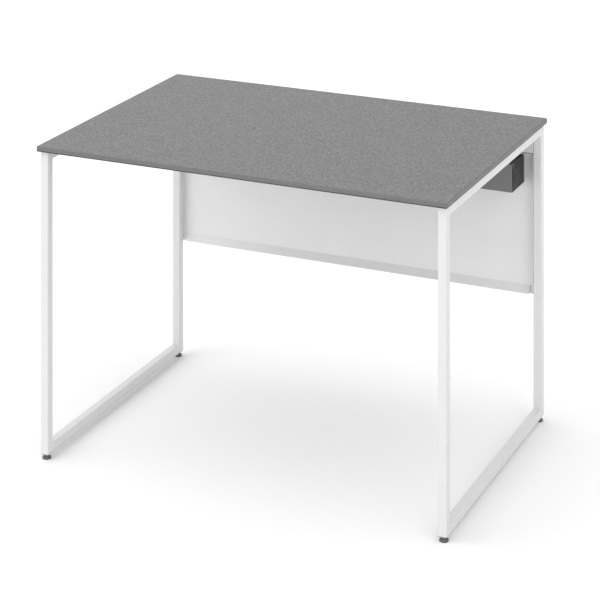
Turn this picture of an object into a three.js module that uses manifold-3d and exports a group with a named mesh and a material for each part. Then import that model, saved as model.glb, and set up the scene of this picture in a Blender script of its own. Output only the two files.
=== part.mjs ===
// A small office desk: a thin laminate top on two closed rectangular side frames of square steel tube,
// tied by a front and a rear beam, with a folded steel modesty panel, a cable tray and levelling feet.
// Millimetres. +X is the user's right, +Y the back, +Z up. The origin is on the floor under the centre.
import * as THREE from "three";
import { mergeVertices } from "three/addons/utils/BufferGeometryUtils.js";
import Module from "manifold-3d";

const wasm = await Module();
wasm.setup();

// ---- Driving dimensions ----
const DESK = { width: 1000, depth: 700, height: 720 };
const TOP = { thickness: 12, edgeRadius: 2, cornerRadius: 4, band: 2 };
const TUBE = { width: 20, depth: 22, wall: 1.6, radius: 2, boreRadius: 0.6 };
const FRAME = { sideInset: 5, endInset: 11.5, floorGap: 11 };
const BEAM = { thickness: 20, frontHeight: 40, rearHeight: 67, frontY: -190, rearInset: 1 };
const BRACKET = {
  thickness: 3,
  height: 20,
  wing: 28,
  frontHalf: 46,
  rearReach: 86,
  edge: 20, // from the bracket's end to its outer screw
  boltDrop: 11.8, // of the bolts under the frame's top
};
const SHEET = 1.2;
const PANEL = {
  top: 637.5,
  crease: 318,
  tabBottom: 297.5,
  flange: 20.2,
  flangeRise: 7.8, // of the side flanges' lower ends, from the back to the front
  lipDrop: 18,
  lipReach: 13,
  relief: 12.7, // width of the corner tabs beside the lip
  flangeInset: 1, // of the top flange's ends
};
const PANEL_SCREW_Z = [340, 600];
const TRAY = { halfLength: 446, front: 243.5, back: 335.7, bottom: 563.6, top: 631, hem: 9 };
const TRAY_END = { recess: 2, rim: 10, cornerRadius: 9 };
// The end plates' openings: two upright slots near the front and two level slots for cable ties.
const TRAY_END_SLOTS = [
  { y: [251.5, 258], z: [574, 617] },
  { y: [267.5, 272], z: [579, 600] },
  { y: [276, 289], z: [611.5, 614.5] },
  { y: [276, 289], z: [620, 623] },
];
const TRAY_SCREW = { z: 604, x: [-330, 0, 330] };
const TRAY_NUT = { flange: 5.4, flangeThickness: 0.7, barrel: 3.6, length: 8 };
const FOOT = {
  radius: 10,
  edge: 1,
  rimTop: 3.8,
  shoulderRadius: 8.4,
  shoulderTop: 5,
  neckRadius: 6.5,
  neckBottom: 5.2,
  neckTop: 9.6,
  socketFloor: 2.2,
  stemRadius: 4,
  stemBottom: 2.6,
  stemTop: 31,
};
const INSERT = { flange: 6.6, flangeThickness: 0.7, barrel: 5.4, bore: 4.1, top: 24 };
const BOLT = { head: 5.25, height: 3.3, shank: 2.9, length: 9, socket: 2 };
const WOOD_SCREW = { head: 4, height: 2.2, shank: 1.9, length: 11.5, socket: 1.4 };
const PANEL_SCREW = { head: 4.75, height: 2.8, shank: 2.3, length: 9, socket: 1.6 };
const TRAY_BOLT = { head: 4.75, height: 2.8, shank: 2.2, length: 12, socket: 1.6 };
const SCREW_HEAD = { rim: 0.45, crown: 0.62, socketFloor: 0.35 }; // shares of its height and radius
const GAP = 0.3; // between pieces that touch on the real desk
const HOLE_PLAY = 0.4; // a screw hole's radius over its screw's
const PILOT_DEPTH = 9; // of the blind holes in the board
const OVERCUT = 1; // how far a cutter runs past the face that it goes through
const SHEET_DRILL = 6; // length of a cutter that goes through a sheet or a bracket
const ROUND_SIDES = 12;
const SCREW_SIDES = 8;

// ---- Dimensions that follow from them ----
const topUnderside = DESK.height - TOP.thickness;
const frameTop = topUnderside - GAP;
const frameX = DESK.width / 2 - FRAME.sideInset - TUBE.width / 2;
const frameInnerX = frameX - TUBE.width / 2;
const frameHalfDepth = DESK.depth / 2 - FRAME.endInset;
const frameHeight = frameTop - FRAME.floorGap;
const legY = frameHalfDepth - TUBE.depth / 2;
const legInnerY = frameHalfDepth - TUBE.depth;
const bracketFaceX = frameInnerX - GAP - BRACKET.thickness;
const beamHalfLength = bracketFaceX - GAP;
const rearBeamY = legInnerY + BEAM.rearInset + BEAM.thickness / 2;
const panelFront = frameHalfDepth - GAP - SHEET;
const panelHalfWidth = frameInnerX - GAP;
const boltZ = frameTop - BRACKET.boltDrop;
const woodScrewX = bracketFaceX - BRACKET.wing / 2;
const boltOffset = BRACKET.frontHalf - BRACKET.edge;
const frontFixings = [BEAM.frontY - boltOffset, BEAM.frontY + boltOffset];
const rearBracketFront = rearBeamY - BEAM.thickness / 2 - BRACKET.rearReach;
const rearFixings = [rearBracketFront + BRACKET.edge, rearBeamY - BEAM.thickness / 2 - BRACKET.edge];
const boltYs = [...frontFixings, ...rearFixings];

// ---- Materials ----
const paint = (color, roughness, metalness = 0) =>
  new THREE.MeshStandardMaterial({ color, roughness, metalness });
const materials = {
  laminate: paint(0x797979, 0.55),
  edgeBand: paint(0x6c6c6c, 0.5),
  whitePaint: paint(0xdddddc, 0.45),
  greyPaint: paint(0x6f6f6f, 0.55),
  zincSteel: paint(0xb4b6b8, 0.35, 1),
  endCap: paint(0x383838, 0.55),
  footPlastic: paint(0x4f4f50, 0.6),
};

// ---- Shape helpers ----
function solidOf(geometry) {
  const bare = geometry.clone();
  bare.deleteAttribute("normal");
  bare.deleteAttribute("uv");
  const merged = mergeVertices(bare, 1e-3);
  return new wasm.Manifold(
    new wasm.Mesh({
      numProp: 3,
      vertProperties: new Float32Array(merged.attributes.position.array),
      triVerts: new Uint32Array(merged.index.array),
    }),
  );
}

function geometryOf(solid) {
  const { vertProperties, triVerts } = solid.getMesh();
  const geometry = new THREE.BufferGeometry();
  geometry.setAttribute("position", new THREE.BufferAttribute(new Float32Array(vertProperties), 3));
  geometry.setIndex(new THREE.BufferAttribute(new Uint32Array(triVerts), 1));
  const flat = geometry.toNonIndexed();
  flat.computeVertexNormals();
  return flat;
}

function join(geometries) {
  return geometryOf(geometries.map(solidOf).reduce((whole, next) => whole.add(next)));
}

function cut(geometry, cutters) {
  return geometryOf(cutters.map(solidOf).reduce((rest, next) => rest.subtract(next), solidOf(geometry)));
}

// A box between pairs of limits, which can be given in either order.
function box(xs, ys, zs) {
  const size = [xs, ys, zs].map(([a, b]) => Math.abs(b - a));
  const middle = [xs, ys, zs].map(([a, b]) => (a + b) / 2);
  return new THREE.BoxGeometry(...size).translate(...middle);
}

function roundedRectangle(width, height, radius, Outline = THREE.Shape) {
  const x = width / 2 - radius;
  const y = height / 2 - radius;
  const outline = new Outline();
  outline.absarc(x, y, radius, 0, Math.PI / 2);
  outline.absarc(-x, y, radius, Math.PI / 2, Math.PI);
  outline.absarc(-x, -y, radius, Math.PI, Math.PI * 1.5);
  outline.absarc(x, -y, radius, Math.PI * 1.5, Math.PI * 2);
  outline.closePath();
  return outline;
}

function extrude(shape, depth, curveSegments = 3) {
  return new THREE.ExtrudeGeometry(shape, { depth, bevelEnabled: false, curveSegments });
}

// A cylinder from one point, along a direction given as [x, y, z].
function rod(radius, length, start, direction, sides = ROUND_SIDES) {
  const along = new THREE.Vector3(...direction).normalize();
  const turn = new THREE.Quaternion().setFromUnitVectors(new THREE.Vector3(0, 1, 0), along);
  return new THREE.CylinderGeometry(radius, radius, length, sides)
    .translate(0, length / 2, 0)
    .applyQuaternion(turn)
    .translate(...start);
}

// A closed profile of [radius, height] points, turned about the vertical axis.
function turned(profile, sides = ROUND_SIDES) {
  const points = profile.map(([radius, height]) => new THREE.Vector2(radius, height));
  return new THREE.LatheGeometry(points, sides).rotateX(Math.PI / 2);
}

function mesh(name, geometry, material, position = [0, 0, 0], rotation = [0, 0, 0]) {
  const part = new THREE.Mesh(geometry, material);
  part.name = name;
  part.position.set(...position);
  part.rotation.set(...rotation);
  return part;
}

// ---- Desktop: a laminated board in a rounded plastic edge band ----
function topOutline(inset) {
  const radius = Math.max(TOP.cornerRadius - inset, 1.5);
  return roundedRectangle(DESK.width - 2 * inset, DESK.depth - 2 * inset, radius);
}

function desktop() {
  const rounded = new THREE.ExtrudeGeometry(topOutline(0), {
    depth: TOP.thickness - 2 * TOP.edgeRadius,
    bevelThickness: TOP.edgeRadius,
    bevelSize: TOP.edgeRadius,
    bevelOffset: -TOP.edgeRadius,
    bevelSegments: 3,
    curveSegments: 4,
  }).translate(0, 0, TOP.edgeRadius);
  const core = extrude(topOutline(TOP.band), TOP.thickness + 2 * OVERCUT, 4).translate(0, 0, -OVERCUT);
  const band = cut(rounded, [core]);
  const pilotRadius = WOOD_SCREW.shank + HOLE_PLAY;
  const pilot = (x, y) => {
    return rod(pilotRadius, PILOT_DEPTH + OVERCUT, [x, y, -OVERCUT], [0, 0, 1], SCREW_SIDES);
  };
  const pilots = [-woodScrewX, woodScrewX].flatMap((x) => boltYs.map((y) => pilot(x, y)));
  const board = cut(extrude(topOutline(TOP.band + GAP), TOP.thickness, 4), pilots);
  const group = new THREE.Group();
  group.position.z = topUnderside;
  group.add(mesh("desktop_board", board, materials.laminate));
  group.add(mesh("desktop_edge_band", band, materials.edgeBand));
  return group;
}

// ---- Side frames: four mitred tubes make each closed loop ----
function tubeBlank(width, depth, length) {
  const section = roundedRectangle(width, depth, TUBE.radius);
  const bore = roundedRectangle(width - 2 * TUBE.wall, depth - 2 * TUBE.wall, TUBE.boreRadius, THREE.Path);
  section.holes.push(bore);
  return extrude(section, length).translate(0, 0, -length / 2);
}

// The tube's -Y side is the loop's outside, so it is the long side of both mitres.
function mitredTube(length) {
  const tube = tubeBlank(TUBE.width, TUBE.depth, length);
  const position = tube.attributes.position;
  const pullBack = GAP * Math.SQRT1_2;
  for (let i = 0; i < position.count; i++) {
    const fromOutside = position.getY(i) + TUBE.depth / 2;
    const end = length / 2 - pullBack - fromOutside;
    position.setZ(i, Math.sign(position.getZ(i)) * end);
  }
  return tube;
}

// Cuts holes, given in the parent's frame, out of a part that is already placed.
function drill(part, cutters) {
  part.updateMatrix();
  const toLocal = part.matrix.clone().invert();
  part.geometry = cut(part.geometry, cutters.map((cutter) => cutter.applyMatrix4(toLocal)));
  return part;
}

// A frame's holes go in through its inner wall only.
function wallHole(screw, inward, y, z) {
  const start = inward * (TUBE.width / 2 + OVERCUT);
  const length = TUBE.wall + 2 * OVERCUT;
  return rod(screw.shank + HOLE_PLAY, length, [start, y, z], [-inward, 0, 0], SCREW_SIDES);
}

function sideFrame(side, sideName) {
  const inward = -side;
  const leg = mitredTube(frameHeight);
  const rail = mitredTube(2 * frameHalfDepth);
  const middle = FRAME.floorGap + frameHeight / 2;
  const bottomZ = FRAME.floorGap + TUBE.depth / 2;
  const topZ = frameTop - TUBE.depth / 2;
  const quarter = Math.PI / 2;
  const make = (part, geometry, position, rotation) =>
    mesh(`${sideName}_${part}`, geometry, materials.whitePaint, position, rotation);
  const frontLeg = make("front_leg", leg, [0, -legY, middle], [0, 0, 0]);
  const rearLeg = make("rear_leg", leg, [0, legY, middle], [0, 0, Math.PI]);
  const topRail = make("top_rail", rail, [0, 0, topZ], [-quarter, 0, 0]);
  const bottomRail = make("bottom_rail", rail, [0, 0, bottomZ], [quarter, 0, 0]);
  drill(rearLeg, PANEL_SCREW_Z.map((z) => wallHole(PANEL_SCREW, inward, legY, z)));
  drill(topRail, boltYs.map((y) => wallHole(BOLT, inward, y, boltZ)));
  const footHole = (y) => {
    return rod(INSERT.barrel + GAP, TUBE.wall + 2 * OVERCUT, [0, y, FRAME.floorGap - OVERCUT], [0, 0, 1]);
  };
  drill(bottomRail, [-legY, legY].map(footHole));
  const group = new THREE.Group();
  group.position.x = side * frameX;
  group.add(frontLeg, rearLeg, topRail, bottomRail);
  return group;
}

// ---- Beams and the brackets that carry them and the top ----
function beam(name, height, y) {
  const tube = tubeBlank(BEAM.thickness, height, 2 * beamHalfLength);
  const rotation = [Math.PI / 2, Math.PI / 2, 0];
  return mesh(name, tube, materials.whitePaint, [0, y, frameTop - height / 2], rotation);
}

// An angle: one flange against the rail with a tongue down the beam's end, wings under the top.
function bracket(name, side, beamY, beamHeight, wings, fixings) {
  const face = [side * bracketFaceX, side * (bracketFaceX + BRACKET.thickness)];
  const beamEdge = BEAM.thickness / 2;
  const plateEnd = Math.max(wings.at(-1)[1], beamY);
  const plate = box(face, [wings[0][0], plateEnd], [frameTop - BRACKET.height, frameTop]);
  const tongue = box(face, [beamY - beamEdge, beamY + beamEdge], [frameTop - beamHeight, frameTop]);
  const wingX = [side * (bracketFaceX - BRACKET.wing), side * (bracketFaceX + BRACKET.thickness)];
  const wingZ = [frameTop - BRACKET.thickness, frameTop];
  const wingBoxes = wings.map((ys) => box(wingX, ys, wingZ));
  const boltHole = (y) => {
    const start = [side * (bracketFaceX - OVERCUT), y, boltZ];
    return rod(BOLT.shank + HOLE_PLAY, SHEET_DRILL, start, [side, 0, 0], SCREW_SIDES);
  };
  const screwHole = (y) => {
    const start = [side * woodScrewX, y, frameTop - BRACKET.thickness - OVERCUT];
    return rod(WOOD_SCREW.shank + HOLE_PLAY, SHEET_DRILL, start, [0, 0, 1], SCREW_SIDES);
  };
  const holes = fixings.flatMap((y) => [boltHole(y), screwHole(y)]);
  return mesh(name, cut(join([plate, tongue, ...wingBoxes]), holes), materials.whitePaint);
}

function brackets(side, sideName) {
  const beamEdge = BEAM.thickness / 2 + GAP;
  const frontWings = [
    [BEAM.frontY - BRACKET.frontHalf, BEAM.frontY - beamEdge],
    [BEAM.frontY + beamEdge, BEAM.frontY + BRACKET.frontHalf],
  ];
  const rearWings = [[rearBracketFront, rearBeamY - beamEdge]];
  return [
    bracket(`${sideName}_front_bracket`, side, BEAM.frontY, BEAM.frontHeight, frontWings, frontFixings),
    bracket(`${sideName}_rear_bracket`, side, rearBeamY, BEAM.rearHeight, rearWings, rearFixings),
  ];
}

// ---- Screws: the head is above Z = 0 and the shank below ----
function screwGeometry({ head, height, shank, length, socket }) {
  return turned([
    [0, -length],
    [shank, -length],
    [shank, 0],
    [head, 0],
    [head, height * SCREW_HEAD.rim],
    [head * SCREW_HEAD.crown, height],
    [socket, height],
    [0, height * SCREW_HEAD.socketFloor],
  ], SCREW_SIDES);
}

function screw(name, kind, position, direction) {
  const part = mesh(name, screwGeometry(kind), materials.zincSteel, position);
  part.quaternion.setFromUnitVectors(new THREE.Vector3(0, 0, 1), new THREE.Vector3(...direction));
  return part;
}

const fixingNames = ["front_a", "front_b", "rear_a", "rear_b"];

function frameBolts(side, sideName) {
  const x = side * (bracketFaceX - GAP);
  const name = (i) => `${sideName}_${fixingNames[i]}_bolt`;
  return boltYs.map((y, i) => screw(name(i), BOLT, [x, y, boltZ], [-side, 0, 0]));
}

function topScrews(side, sideName) {
  const z = frameTop - BRACKET.thickness - GAP;
  const name = (i) => `${sideName}_${fixingNames[i]}_top_screw`;
  return boltYs.map((y, i) => screw(name(i), WOOD_SCREW, [side * woodScrewX, y, z], [0, 0, -1]));
}

// ---- Modesty panel: one sheet folded forward on all four sides ----
function modestyPanel() {
  const sheetY = [panelFront, panelFront + SHEET];
  const flangeY = [panelFront - PANEL.flange, panelFront + SHEET];
  const lipEnd = panelHalfWidth - PANEL.relief;
  const face = box([-panelHalfWidth, panelHalfWidth], sheetY, [PANEL.crease, PANEL.top]);
  const flangeEnd = panelHalfWidth - PANEL.flangeInset;
  const topFlange = box([-flangeEnd, flangeEnd], flangeY, [PANEL.top - SHEET, PANEL.top]);
  const flangeOutline = new THREE.Shape();
  flangeOutline.moveTo(flangeY[1], PANEL.tabBottom);
  flangeOutline.lineTo(flangeY[1], PANEL.top);
  flangeOutline.lineTo(flangeY[0], PANEL.top);
  flangeOutline.lineTo(flangeY[0], PANEL.tabBottom + PANEL.flangeRise);
  flangeOutline.closePath();
  const sides = [-1, 1].flatMap((side) => [
    alongX(flangeOutline, SHEET / 2).translate(side * (panelHalfWidth - SHEET / 2), 0, 0),
    box([side * panelHalfWidth, side * lipEnd], sheetY, [PANEL.tabBottom, PANEL.crease + SHEET]),
  ]);
  const lipHeight = (SHEET * Math.hypot(PANEL.lipReach, PANEL.lipDrop)) / PANEL.lipReach;
  const outline = new THREE.Shape();
  outline.moveTo(panelFront + SHEET, PANEL.crease + SHEET);
  outline.lineTo(panelFront, PANEL.crease + SHEET);
  outline.lineTo(panelFront, PANEL.crease);
  outline.lineTo(panelFront - PANEL.lipReach, PANEL.crease - PANEL.lipDrop);
  outline.lineTo(panelFront - PANEL.lipReach, PANEL.crease - PANEL.lipDrop - lipHeight);
  outline.lineTo(panelFront + SHEET, PANEL.crease - SHEET);
  outline.closePath();
  const lip = alongX(outline, lipEnd);
  const trayHole = (x) => {
    const start = [x, panelFront - OVERCUT, TRAY_SCREW.z];
    return rod(TRAY_NUT.barrel + GAP, SHEET_DRILL, start, [0, 1, 0], SCREW_SIDES);
  };
  const legHole = (side, z) => {
    const start = [side * (panelHalfWidth - SHEET - OVERCUT), legY, z];
    return rod(PANEL_SCREW.shank + HOLE_PLAY, SHEET_DRILL, start, [side, 0, 0], SCREW_SIDES);
  };
  const trayHoles = TRAY_SCREW.x.map(trayHole);
  const legHoles = [-1, 1].flatMap((side) => PANEL_SCREW_Z.map((z) => legHole(side, z)));
  const sheet = cut(join([face, topFlange, ...sides, lip]), [...trayHoles, ...legHoles]);
  return mesh("modesty_panel", sheet, materials.whitePaint);
}

// Extrudes an outline drawn in (Y, Z) to both sides of the middle.
function alongX(outline, halfLength) {
  const geometry = extrude(outline, 2 * halfLength).translate(0, 0, -halfLength);
  const turn = new THREE.Matrix4().makeBasis(
    new THREE.Vector3(0, 1, 0),
    new THREE.Vector3(0, 0, 1),
    new THREE.Vector3(1, 0, 0),
  );
  return geometry.applyMatrix4(turn);
}

function panelScrews(side, sideName) {
  const x = side * (panelHalfWidth - SHEET - GAP);
  const heights = ["low", "high"];
  return PANEL_SCREW_Z.map((z, i) =>
    screw(`${sideName}_panel_screw_${heights[i]}`, PANEL_SCREW, [x, legY, z], [-side, 0, 0]),
  );
}

// ---- Cable tray: an open channel with two end plates, screwed to the panel ----
function trayBody() {
  const inner = { front: TRAY.front + SHEET, back: TRAY.back - SHEET, bottom: TRAY.bottom + SHEET };
  const outline = new THREE.Shape();
  outline.moveTo(TRAY.front, TRAY.bottom);
  outline.lineTo(TRAY.back, TRAY.bottom);
  outline.lineTo(TRAY.back, TRAY.top);
  outline.lineTo(inner.back, TRAY.top);
  outline.lineTo(inner.back, inner.bottom);
  outline.lineTo(inner.front, inner.bottom);
  outline.lineTo(inner.front, TRAY.top - SHEET);
  outline.lineTo(inner.front + TRAY.hem, TRAY.top - SHEET);
  outline.lineTo(inner.front + TRAY.hem, TRAY.top);
  outline.lineTo(TRAY.front, TRAY.top);
  outline.closePath();
  const hole = (x) => {
    const start = [x, inner.back - OVERCUT, TRAY_SCREW.z];
    return rod(TRAY_BOLT.shank + HOLE_PLAY, SHEET_DRILL, start, [0, 1, 0], SCREW_SIDES);
  };
  const channel = cut(alongX(outline, TRAY.halfLength), TRAY_SCREW.x.map(hole));
  return mesh("cable_tray", channel, materials.greyPaint);
}

// The end plate's outline in (Y, Z), inset from the channel's inner walls, with a round upper rear corner.
function endOutline(inset, radius) {
  const front = TRAY.front + SHEET + inset;
  const back = TRAY.back - SHEET - inset;
  const bottom = TRAY.bottom + SHEET + inset;
  const top = TRAY.top - SHEET - inset;
  const outline = new THREE.Shape();
  outline.moveTo(front, bottom);
  outline.lineTo(back, bottom);
  outline.absarc(back - radius, top - radius, radius, 0, Math.PI / 2);
  outline.lineTo(front, top);
  outline.closePath();
  return outline;
}

function trayEnd(name, side) {
  const outerX = TRAY.halfLength - TRAY_END.recess;
  const pan = alongX(endOutline(GAP, TRAY_END.cornerRadius), TRAY_END.rim / 2);
  const hollow = alongX(endOutline(GAP + SHEET, TRAY_END.cornerRadius - SHEET), TRAY_END.rim / 2);
  pan.translate(side * (outerX - TRAY_END.rim / 2), 0, 0);
  hollow.translate(side * (outerX - TRAY_END.rim / 2 - SHEET), 0, 0);
  const through = [side * (outerX - SHEET - OVERCUT), side * (outerX + OVERCUT)];
  const slots = TRAY_END_SLOTS.map(({ y, z }) => box(through, y, z));
  return mesh(name, cut(pan, [hollow, ...slots]), materials.endCap);
}

function trayFixings() {
  const names = ["left", "middle", "right"];
  const nutBore = TRAY_BOLT.shank + GAP;
  const nutFront = panelFront - GAP - TRAY_NUT.flangeThickness;
  const profile = [
    [nutBore, 0],
    [nutBore, -TRAY_NUT.length],
    [TRAY_NUT.barrel, -TRAY_NUT.length],
    [TRAY_NUT.barrel, -TRAY_NUT.flangeThickness],
    [TRAY_NUT.flange, -TRAY_NUT.flangeThickness],
    [TRAY_NUT.flange, 0],
    [nutBore, 0],
  ];
  return TRAY_SCREW.x.flatMap((x, i) => {
    const headAt = [x, TRAY.back - SHEET - GAP, TRAY_SCREW.z];
    const nutAt = [x, nutFront, TRAY_SCREW.z];
    return [
      screw(`tray_screw_${names[i]}`, TRAY_BOLT, headAt, [0, -1, 0]),
      mesh(`tray_nut_${names[i]}`, turned(profile), materials.zincSteel, nutAt, [Math.PI / 2, 0, 0]),
    ];
  });
}

// ---- Levelling feet: a glide on a threaded stem, in an insert in the bottom rail ----
function foot(name, x, y) {
  const glide = turned([
    [0, 0],
    [FOOT.radius - FOOT.edge, 0],
    [FOOT.radius, FOOT.edge],
    [FOOT.radius, FOOT.rimTop],
    [FOOT.shoulderRadius, FOOT.shoulderTop],
    [FOOT.neckRadius, FOOT.neckBottom],
    [FOOT.neckRadius, FOOT.neckTop],
    [FOOT.stemRadius + GAP, FOOT.neckTop],
    [FOOT.stemRadius + GAP, FOOT.socketFloor],
    [0, FOOT.socketFloor],
  ]);
  const stem = turned([
    [0, FOOT.stemBottom],
    [FOOT.stemRadius, FOOT.stemBottom],
    [FOOT.stemRadius, FOOT.stemTop - FOOT.edge],
    [FOOT.stemRadius - FOOT.edge, FOOT.stemTop],
    [0, FOOT.stemTop],
  ]);
  const flangeTop = FRAME.floorGap - GAP;
  const flangeBottom = flangeTop - INSERT.flangeThickness;
  const insert = turned([
    [INSERT.bore, flangeBottom],
    [INSERT.flange, flangeBottom],
    [INSERT.flange, flangeTop],
    [INSERT.barrel, flangeTop],
    [INSERT.barrel, INSERT.top],
    [INSERT.bore, INSERT.top],
    [INSERT.bore, flangeBottom],
  ]);
  const group = new THREE.Group();
  group.position.set(x, y, 0);
  group.add(mesh(`${name}_foot_glide`, glide, materials.footPlastic));
  group.add(mesh(`${name}_foot_stem`, stem, materials.zincSteel));
  group.add(mesh(`${name}_foot_insert`, insert, materials.zincSteel));
  return group;
}

// ---- The whole desk ----
const desk = new THREE.Group();
desk.add(desktop());
desk.add(beam("front_beam", BEAM.frontHeight, BEAM.frontY));
desk.add(beam("rear_beam", BEAM.rearHeight, rearBeamY));
desk.add(modestyPanel(), trayBody(), ...trayFixings());
for (const [side, sideName] of [[-1, "left"], [1, "right"]]) {
  desk.add(sideFrame(side, sideName));
  desk.add(...brackets(side, sideName), ...frameBolts(side, sideName), ...topScrews(side, sideName));
  desk.add(...panelScrews(side, sideName));
  desk.add(trayEnd(`tray_end_${sideName}`, side));
  desk.add(foot(`${sideName}_front`, side * frameX, -legY));
  desk.add(foot(`${sideName}_rear`, side * frameX, legY));
}

export default desk;
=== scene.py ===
"""The looks of a small office desk: a speckled laminate top on two white steel loop legs, with a folded
modesty panel, a dark cable tray and levelling feet. Metres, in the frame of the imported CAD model: +X is
the user's right, +Y the back, +Z up, and the origin is on the floor under the middle of the top."""

import math

import bmesh
import bpy
from mathutils import Matrix, Vector


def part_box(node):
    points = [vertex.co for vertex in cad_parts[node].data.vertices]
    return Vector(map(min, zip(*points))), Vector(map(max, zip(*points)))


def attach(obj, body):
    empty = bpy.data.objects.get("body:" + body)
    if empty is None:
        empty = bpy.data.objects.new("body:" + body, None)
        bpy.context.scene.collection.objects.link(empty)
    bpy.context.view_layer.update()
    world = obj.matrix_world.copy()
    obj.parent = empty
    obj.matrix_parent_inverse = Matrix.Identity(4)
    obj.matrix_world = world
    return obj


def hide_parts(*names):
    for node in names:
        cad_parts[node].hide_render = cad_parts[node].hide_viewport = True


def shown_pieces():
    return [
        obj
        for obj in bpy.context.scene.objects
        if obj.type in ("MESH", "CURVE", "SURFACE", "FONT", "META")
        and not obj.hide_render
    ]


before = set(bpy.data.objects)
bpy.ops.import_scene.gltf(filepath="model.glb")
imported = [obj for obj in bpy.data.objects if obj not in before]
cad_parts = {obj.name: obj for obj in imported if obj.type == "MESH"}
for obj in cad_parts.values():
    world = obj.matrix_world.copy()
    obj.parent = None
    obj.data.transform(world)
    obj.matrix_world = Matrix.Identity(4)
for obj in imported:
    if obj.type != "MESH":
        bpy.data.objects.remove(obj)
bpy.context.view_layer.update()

# ---- Sizes ----
MM = 0.001
SIDES = {"left": -1, "right": 1}
ENDS = ("front", "rear")
FIXINGS = ("front_a", "front_b", "rear_a", "rear_b")
PANEL_SCREWS = ("panel_screw_low", "panel_screw_high")
TRAY_SPOTS = ("left", "middle", "right")
SHEET = 1.2 * MM
SHEET_BEND = 1.5 * MM
TOP = {"corner": 4 * MM, "band": 2 * MM, "joint": 0.08 * MM, "chamfer": 0.12 * MM}
TUBE = {"wall": 1.6 * MM, "radius": 2 * MM, "bore_radius": 0.6 * MM, "corner": 1.4 * MM, "end": 0.25 * MM}
BRACKET = {"thickness": 3 * MM, "height": 20 * MM, "bend": 3.4 * MM, "corner": 3 * MM, "relief": 1 * MM}
WELD = {"radius": 1.0 * MM, "corner": 2 * MM, "below_top": 7 * MM, "step": 0.45 * MM, "sides": 10}
WELD_RIPPLE = {"length": 1.8 * MM, "valley": 0.78}
WELD_TAPER_STEPS = 4
PANEL = {"crease": 20.5 * MM, "lip_drop": 18 * MM, "lip_reach": 13 * MM, "flange_rise": 7.8 * MM}
PANEL_CORNER = {"tab": 12.7 * MM, "relief": 2.6 * MM}
TRAY_HEM = 9 * MM
TRAY_END = {"rim": 10 * MM, "corner": 9 * MM, "bend": 1.6 * MM, "small_corner": 1 * MM}

# A near-black strip behind the end caps' slots, which paints the shade seen through them: its depths are
# under the cap's outer face.
TRAY_SLOT_SHADE = {"inset": 1.4 * MM, "depths": (1.25 * MM, 2.05 * MM)}

# The end caps' slots, in millimetres in the frame, and the corners' share of a slot's width.
TRAY_END_SLOTS = (
    {"y": (251.5, 258), "z": (574, 617)},
    {"y": (267.5, 272), "z": (579, 600)},
    {"y": (276, 289), "z": (611.5, 614.5)},
    {"y": (276, 289), "z": (620, 623)},
)
SLOT_ROUNDNESS = 0.48

# Holes in the frame: the gap round a screw's thread, and the radius round a foot's insert.
HOLE_PLAY = 0.4 * MM
INSERT_HOLE = 5.7 * MM

# Painted shade along a piece's lower edge, on the edge band and the rails, and the feet's black base,
# which also paints their contact shade:
# its share of the colour, and the heights over the underside between which it fades out.
BAND_ARRIS_SHADE = {"share": 0.06, "heights": (2.3 * MM, 2.8 * MM)}
RAIL_EDGE_SHADE = {"share": 0.45, "heights": (1.8 * MM, 2.4 * MM)}
FOOT_BASE_AND_SHADE = {"share": 0.06, "heights": (2.2 * MM, 2.5 * MM)}

# Screws, in millimetres: radii of the head and of the thread's core and crest, the head's height, the
# thread's pitch, the length under the head, the point's length and the tip's share of the core's radius.
BOLT = dict(head=5.25, height=3.3, core=2.35, crest=2.9, pitch=1.0, length=9, point=0.6, tip=0.8)
WOOD_SCREW = dict(head=4, height=2.2, core=1.15, crest=1.9, pitch=1.6, length=11.5, point=4, tip=0.15)
PANEL_SCREW = dict(head=4.75, height=2.8, core=1.85, crest=2.3, pitch=0.8, length=9, point=0.6, tip=0.8)
TRAY_BOLT = dict(head=4.75, height=2.8, core=1.75, crest=2.2, pitch=0.8, length=12, point=0.6, tip=0.8)
STEM = dict(core=3.25, crest=4.0, pitch=1.25, point=1.0, tip=0.8)
PLAIN_NECK = 0.4
CROSS_ARM = 0.26  # half an arm's width, where the arms end at 1
ROWS_PER_TURN = 4
SCREW_SIDES = 48
ROUND_SIDES = 48
FOOT_SIDES = 72
FOOT_RIBS = {"count": 36, "depth": 0.012}  # the depth is a share of the radius
SHARP_ANGLE = 38

# Profiles of (radius, height), in millimetres.
NUT = ((2.5, 0), (5.1, 0), (5.4, -0.3), (5.4, -0.7), (3.6, -0.8), (3.6, -2.0), (4.4, -2.5), (4.5, -3.0))
NUT += ((4.3, -3.6), (3.6, -4.3), (3.6, -7.8), (3.4, -8), (2.5, -8))
INSERT = ((4.1, 0), (6.3, 0), (6.6, 0.3), (6.6, 0.7), (5.4, 0.75), (5.4, 13.6), (5.0, 14), (4.1, 14))


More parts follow.
